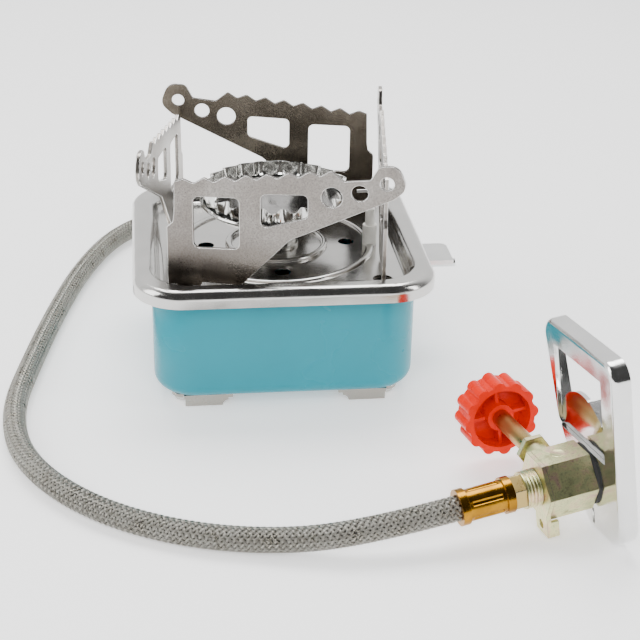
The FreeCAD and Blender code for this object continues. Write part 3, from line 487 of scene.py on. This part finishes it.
def strand_points(along, line, side, above, hand, strand):
    """Points of one flat strand: three across, at each step along the hose."""
    over = np.cos(math.pi * along / CROSSING)
    turn = FULL_TURN * strand / STRANDS + hand * (FULL_TURN * along / LAY_LENGTH)
    rings = []
    for offset, low in ((-STRAND_HALF_ANGLE, -EDGE_DROP), (0.0, 0.0), (STRAND_HALF_ANGLE, -EDGE_DROP)):
        reach = HOSE_DIAMETER / 2 + low * MM + (hand * over * WEAVE_RISE - WEAVE_SINK) * MM
        angle = turn + offset * STRAND_SPREAD
        rings.append(line + side * (reach * np.cos(angle))[:, None]
                     + above * (reach * np.sin(angle))[:, None])
    return np.stack(rings, axis=1).reshape(-1, 3).tolist()


def strand_faces(first, count):
    """Faces of one strand, closed at both ends, and the strand coordinates of their corners."""
    faces, corners = [], []
    for k in range(count - 1):
        a = first + 3 * k
        near = STRAND_STEP * k
        far = STRAND_STEP * k + STRAND_STEP
        for u in range(3):
            v = (u + 1) % 3
            low, high = (u / 2, (u + 1) / 2) if u < 2 else (1.0, 0.0)
            faces.append((a + u, a + v, a + 3 + v, a + 3 + u))
            corners.extend((low, near, high, near, high, far, low, far))
    last = first + 3 * (count - 1)
    for end in ((first + 2, first + 1, first), (last, last + 1, last + 2)):
        faces.append(end)
        corners.extend((0.5, 0.0) * 3)
    return faces, corners


def make_braid(points):
    along, line = evenly(points, CROSSING / STEPS_PER_CROSSING)
    tangent = np.gradient(line, axis=0)
    tangent /= np.linalg.norm(tangent, axis=1)[:, None]
    side = np.cross(tangent, (0.0, 0.0, 1.0))
    side /= np.linalg.norm(side, axis=1)[:, None]
    above = np.cross(side, tangent)
    verts, faces, corners = [], [], []
    for hand in (1.0, -1.0):
        for strand in range(STRANDS):
            strand_face, strand_corner = strand_faces(len(verts), len(line))
            verts.extend(strand_points(along, line, side, above, hand, strand))
            faces.extend(strand_face)
            corners.extend(strand_corner)
    mesh = bpy.data.meshes.new("gas_hose_braid")
    mesh.from_pydata(verts, [], faces)
    mesh.uv_layers.new(name="strand").data.foreach_set("uv", corners)
    mesh.shade_smooth()
    mesh.materials.append(braid_wire())
    return laid_on(linked("gas_hose_braid", mesh), "gas_hose")


def make_hose():
    """A dark tube under a wire braid, in the hose's place."""
    curve = hose_curve()
    core = linked("gas_hose_tube", curve)
    bpy.context.view_layer.update()
    bare_line = core.evaluated_get(bpy.context.evaluated_depsgraph_get())
    sampled = bpy.data.meshes.new_from_object(bare_line)
    points = np.array([vertex.co for vertex in sampled.vertices])
    curve.bevel_depth = CORE_RADIUS
    curve.bevel_resolution = 6
    curve.use_fill_caps = True
    curve.materials.append(FINISHES["braided_hose"])
    stands_for(core, "gas_hose")
    braid = make_braid(points)


# ---------------------------------------------------------------- camera, light and floor

CAMERA_AZIMUTH, CAMERA_ELEVATION, CAMERA_ROLL = (math.radians(angle) for angle in (-7.01, 25.8, 1.09))
CAMERA_PLACE = (-0.0390, -0.4341, 0.2217)
CAMERA_LENS = 84.19
SENSOR_WIDTH = 36.0
NEAR_CLIP = 0.01
FAR_CLIP = 20.0


def make_camera():
    back = Vector((math.sin(CAMERA_AZIMUTH) * math.cos(CAMERA_ELEVATION),
                   -math.cos(CAMERA_AZIMUTH) * math.cos(CAMERA_ELEVATION),
                   math.sin(CAMERA_ELEVATION)))
    level = (-back).cross(Vector((0, 0, 1))).normalized()
    above = level.cross(-back)
    right = level * math.cos(CAMERA_ROLL) + above * math.sin(CAMERA_ROLL)
    up = above * math.cos(CAMERA_ROLL) - level * math.sin(CAMERA_ROLL)
    data = bpy.data.cameras.new("camera")
    data.lens = CAMERA_LENS
    data.sensor_width = SENSOR_WIDTH
    data.clip_start = NEAR_CLIP
    data.clip_end = FAR_CLIP
    camera = linked("camera", data)
    turn = Matrix((right, up, back)).transposed().to_4x4()
    camera.matrix_world = Matrix.Translation(CAMERA_PLACE) @ turn
    bpy.context.scene.camera = camera


def softbox(name, place, target, width, height, power):
    data = bpy.data.lights.new(name, "AREA")
    data.shape = "RECTANGLE"
    data.size = width
    data.size_y = height
    data.energy = power
    light = linked(name, data)
    light.location = place
    light.rotation_mode = "QUATERNION"
    light.rotation_quaternion = (Vector(target) - Vector(place)).to_track_quat("-Z", "Y")
    return light


ROOM_DARK = 0.05
ROOM_LIGHT = 1.0
DARK_UNTIL = -0.10
LIGHT_FROM = 0.55
ROOM_STRENGTH = 1.35
STOVE_MIDDLE = (0.0, -0.05, 0.03)


def make_light():
    """White surroundings behind, a dark room on the camera's side, and softboxes round the stove."""
    world = bpy.data.worlds.new("studio")
    bpy.context.scene.world = world
    world.use_nodes = True
    tree = world.node_tree
    place = tree.nodes.new("ShaderNodeTexCoord")
    axis = tree.nodes.new("ShaderNodeSeparateXYZ")
    tree.links.new(place.outputs["Generated"], axis.inputs[0])
    graded = tree.nodes.new("ShaderNodeMapRange")
    graded.interpolation_type = "SMOOTHSTEP"
    for key, value in (("From Min", DARK_UNTIL), ("From Max", LIGHT_FROM),
                       ("To Min", ROOM_DARK), ("To Max", ROOM_LIGHT)):
        graded.inputs[key].default_value = value
    tree.links.new(axis.outputs["Y"], graded.inputs["Value"])
    background = tree.nodes["Background"]
    tree.links.new(graded.outputs["Result"], background.inputs["Color"])
    background.inputs["Strength"].default_value = ROOM_STRENGTH
    softbox("top_box", (0.0, 0.35, 0.9), (0.0, 0.0, 0.0), 0.7, 0.5, 9.0)
    softbox("left_box", (-0.9, -0.1, 0.5), STOVE_MIDDLE, 0.5, 0.8, 7.0)
    softbox("right_box", (0.9, -0.4, 0.5), STOVE_MIDDLE, 0.2, 0.8, 4.0)
    fill = softbox("front_fill", (-0.1, -0.9, 0.7), STOVE_MIDDLE, 0.9, 0.6, 12.0)
    fill.visible_glossy = False


FLOOR_REACH = 6.0
FLOOR_GLOW = 0.6


def make_floor():
    """Pale card that glows a little, so that it stays light in the metal's reflections."""
    corners = [(across * FLOOR_REACH, along * FLOOR_REACH, 0)
               for across, along in ((-1, -1), (1, -1), (1, 1), (-1, 1))]
    mesh = bpy.data.meshes.new("floor")
    mesh.from_pydata(corners, [], [(0, 1, 2, 3)])
    floor = linked("floor", mesh)
    made = Finish("floor_card", Roughness=0.7, Emission_Color=(1.0, 1.0, 1.0, 1.0),
                  Emission_Strength=FLOOR_GLOW)
    made.colour(made.ramp(made.noise(3.0), (0.3, (0.90, 0.90, 0.90)), (0.7, (0.93, 0.93, 0.93))))
    mesh.materials.append(made.material)


# ---------------------------------------------------------------- the stove

# How far the sharp edges of each finished node are rounded, in millimetres.
EDGES = {
    "top_tray": 0.12, "casing": 0.15, "igniter_lever": 0.3, "valve_body": 0.25, "bonnet_nut": 0.2,
    "valve_stem": 0.15, "valve_knob": 0.35, "hose_nut": 0.2, "hose_sleeve_valve": 0.2,
    "hose_sleeve_stove": 0.2, "retaining_bracket": 0.2, "stand_plate": 0.15,
    "cartridge_collar_disc": 0.15, "collar_nut": 0.2, "inlet_union": 0.2, "leg_screws": 0.3,
    "inlet_lock_nut": 0.2,
}
SHEET_ROUNDING = 0.2

# Tone, warmer tone and smoothness of each pot support. The four are the same steel; their tones differ
# as painted light and shade, each as bright or dark as its surroundings make it, and the rear one is
# the darkest.
SUPPORT_TONES_AS_LIT = {
    "front": ((0.31, 0.29, 0.27), (0.23, 0.205, 0.185), 0.20),
    "right": ((0.46, 0.44, 0.41), (0.40, 0.36, 0.33), 0.22),
    "rear": ((0.09, 0.075, 0.058), (0.27, 0.235, 0.19), 0.16),
    "left": ((0.44, 0.42, 0.39), (0.38, 0.34, 0.30), 0.24),
}

paint_frame()
bright_edge = brass("bright_edge", (0.48, 0.43, 0.27), (0.36, 0.31, 0.18), 0.22)
OWN_FINISH = {
    "top_tray": (polished_steel("tray_steel", (0.60, 0.59, 0.57), 0.12, 0.00028), None),
    "stand_plate": (polished_steel("plate_steel", (0.76, 0.76, 0.75), 0.07, 0.0007), None),
    "valve_body": (None, bright_edge),
    "bonnet_nut": (None, bright_edge),
    "hose_nut": (None, bright_edge),
    "retaining_bracket": (None, bright_edge),
}
for part, rounding in EDGES.items():
    finished(part, rounding, *OWN_FINISH.get(part, (None, None)))
cut_edge = polished_steel("cut_edge", (0.78, 0.77, 0.75), 0.12, 0.00003)
# Each support gets its own copy of the satin steel, its tone painted lighter or darker as light and
# shade.
for side, (tone, warm, smooth) in SUPPORT_TONES_AS_LIT.items():
    satin = satin_steel(f"satin_{side}", tone, warm, smooth)
    finished(f"pot_support_{side}", SHEET_ROUNDING, satin, cut_edge)
leg_steel = polished_steel("leg_steel", (0.40, 0.37, 0.33), 0.18, 0.0024)
for corner in ("front_left", "front_right", "rear_right", "rear_left"):
    finished(f"leg_{corner}", SHEET_ROUNDING, leg_steel, cut_edge)
make_burner()
make_valve_details()
make_hose()
make_camera()
make_light()
make_floor()
